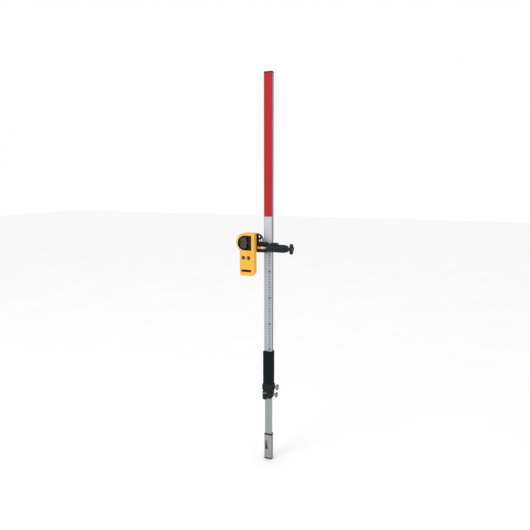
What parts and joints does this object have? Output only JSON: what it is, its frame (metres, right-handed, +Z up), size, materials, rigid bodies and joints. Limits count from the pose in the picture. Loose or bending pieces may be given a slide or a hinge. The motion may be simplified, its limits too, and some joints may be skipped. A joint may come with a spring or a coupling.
{
  "type": "telescopic laser levelling staff with detector",
  "caption": "Telescopic aluminium levelling staff with foam grip, locking collar and foot shoe, carrying a hand-size laser detector on a screw clamp.",
  "frame": {"origin": "middle of the flat sole of the foot", "axes": "+Z up the staff, the reading face and the detector's display look along -Y, the detector is on the -X side and the clamp knob on the +X side"},
  "size_m": [0.208, 0.0696, 1.454],
  "materials": {
    "silver_anodised": "satin anodised",
    "grey_anodised": "satin anodised, greenish grey",
    "red_tape": "satin vinyl",
    "scale_tape": "satin printed film",
    "black_plastic": "moulded, fine texture",
    "foam": "closed-cell foam, matt",
    "dark_rubber": "matt",
    "white_plastic": "moulded acetal",
    "steel": "plated, turned",
    "brass": "machined",
    "foot_metal": "satin silver",
    "label": "printed film",
    "arm_plastic": "glass-filled, fine texture",
    "knob_plastic": "moulded",
    "yellow_plastic": "fine spark texture",
    "lens": "smoked, polished",
    "mask": "printed black",
    "display": "liquid crystal panel",
    "sensor": "dark filter over photodiodes",
    "board": "solder mask",
    "cell": "wrapped cell",
    "badge": "blank plate",
    "button_rubber": "silicone keypad"
  },
  "bodies": {
    "staff": {"outer_tube": "silver_anodised", "red_face_strip": "red_tape", "scale_strip": "scale_tape", "top_cap": "black_plastic", "top_cap_pins": "steel", "grip_sleeve": "foam", "collar_housing": "black_plastic", "collar_screws": "steel", "upper_lock_bush": "brass", "lower_lock_nut": "steel"},
    "inner_section": {"inner_tube": "grey_anodised", "inner_glide": "white_plastic", "foot_shoe": "foot_metal", "foot_rim": "dark_rubber", "foot_sole": "dark_rubber", "foot_label": "label", "foot_screws": "steel"},
    "upper_pad": {"upper_lock_pad": "white_plastic"},
    "upper_screw": {"upper_screw_shank": "steel", "upper_screw_head": "steel"},
    "lower_washer": {"lower_lock_washer": "steel"},
    "lower_screw": {"lower_screw_shank": "steel", "lower_screw_head": "steel"},
    "carriage": {"clamp_bracket": "arm_plastic", "fixed_jaw_pad": "dark_rubber", "clamp_spindle": "brass", "spindle_bush": "steel", "guide_rod": "steel", "front_shell": "yellow_plastic", "back_shell": "yellow_plastic", "shell_gasket": "dark_rubber", "window_lens": "lens", "window_mask": "mask", "lcd_module": "display", "sensor_array": "sensor", "circuit_board": "board", "press_switches": "steel", "buzzer": "black_plastic", "battery": "cell", "battery_contacts": "steel", "badge_plate": "badge", "shell_screws": "steel", "mount_insert": "brass"},
    "jaw": {"sliding_jaw": "arm_plastic", "sliding_jaw_pad": "dark_rubber", "thrust_washer": "steel"},
    "knob": {"star_knob": "knob_plastic", "knob_insert": "brass"},
    "mount_washer": {"mount_washer": "steel"},
    "mount_screw": {"mount_screw_shank": "steel", "mount_screw_knob": "knob_plastic"},
    "power_button": {"power_button": "button_rubber"},
    "volume_button": {"volume_button": "button_rubber"},
    "battery_door": {"battery_door": "yellow_plastic"}
  },
  "joints": [
    {"name": "staff_extension", "type": "slide", "parent": "staff", "child": "inner_section", "axis": [0, 0, -1], "range_m": [-0.147, 0.92]},
    {"name": "upper_pad_slide", "type": "slide", "parent": "staff", "child": "upper_pad", "axis": [1, 0, 0], "range_m": [0, 0.0015]},
    {"name": "upper_lock_turn", "type": "hinge", "parent": "upper_pad", "child": "upper_screw", "pos_m": [0.0315, 0, 0.305], "axis": [1, 0, 0], "range_deg": [0, 540.05]},
    {"name": "lower_washer_slide", "type": "slide", "parent": "staff", "child": "lower_washer", "axis": [1, 0, 0], "range_m": [0, 0.002]},
    {"name": "lower_lock_turn", "type": "hinge", "parent": "lower_washer", "child": "lower_screw", "pos_m": [0.0325, -0.0126, 0.28], "axis": [1, 0, 0], "range_deg": [0, 720.05]},
    {"name": "detector_travel", "type": "slide", "parent": "staff", "child": "carriage", "axis": [0, 0, 1], "range_m": [-0.375, 0.575]},
    {"name": "jaw_slide", "type": "slide", "parent": "carriage", "child": "jaw", "axis": [1, 0, 0], "range_m": [0, 0.012]},
    {"name": "clamp_knob_turn", "type": "hinge", "parent": "jaw", "child": "knob", "pos_m": [0.09, -0.0254, 0.8482], "axis": [1, 0, 0], "range_deg": [0, 2160.1]},
    {"name": "mount_washer_slide", "type": "slide", "parent": "carriage", "child": "mount_washer", "axis": [0, 1, 0], "range_m": [0, 0.00508]},
    {"name": "mount_screw_turn", "type": "hinge", "parent": "mount_washer", "child": "mount_screw", "pos_m": [-0.062, -0.018, 0.862], "axis": [0, 1, 0], "range_deg": [0, 1440.1]},
    {"name": "power_press", "type": "slide", "parent": "carriage", "child": "power_button", "axis": [0, 1, 0], "range_m": [0, 0.001], "stiffness_N_per_m": 400, "springref_m": -0.0008},
    {"name": "volume_press", "type": "slide", "parent": "carriage", "child": "volume_button", "axis": [0, 1, 0], "range_m": [0, 0.001], "stiffness_N_per_m": 400, "springref_m": -0.0008},
    {"name": "battery_door_hinge", "type": "hinge", "parent": "carriage", "child": "battery_door", "pos_m": [-0.0645, -0.0283, 0.758], "axis": [-1, 0, 0], "range_deg": [0, 100]}
  ],
  "couplings": [
    {"joint": "upper_lock_turn", "follows": "upper_pad_slide", "rad_per_m": 6283.2},
    {"joint": "lower_lock_turn", "follows": "lower_washer_slide", "rad_per_m": 6283.2},
    {"joint": "clamp_knob_turn", "follows": "jaw_slide", "rad_per_m": 3141.6},
    {"joint": "mount_screw_turn", "follows": "mount_washer_slide", "rad_per_m": 4947.4}
  ]
}
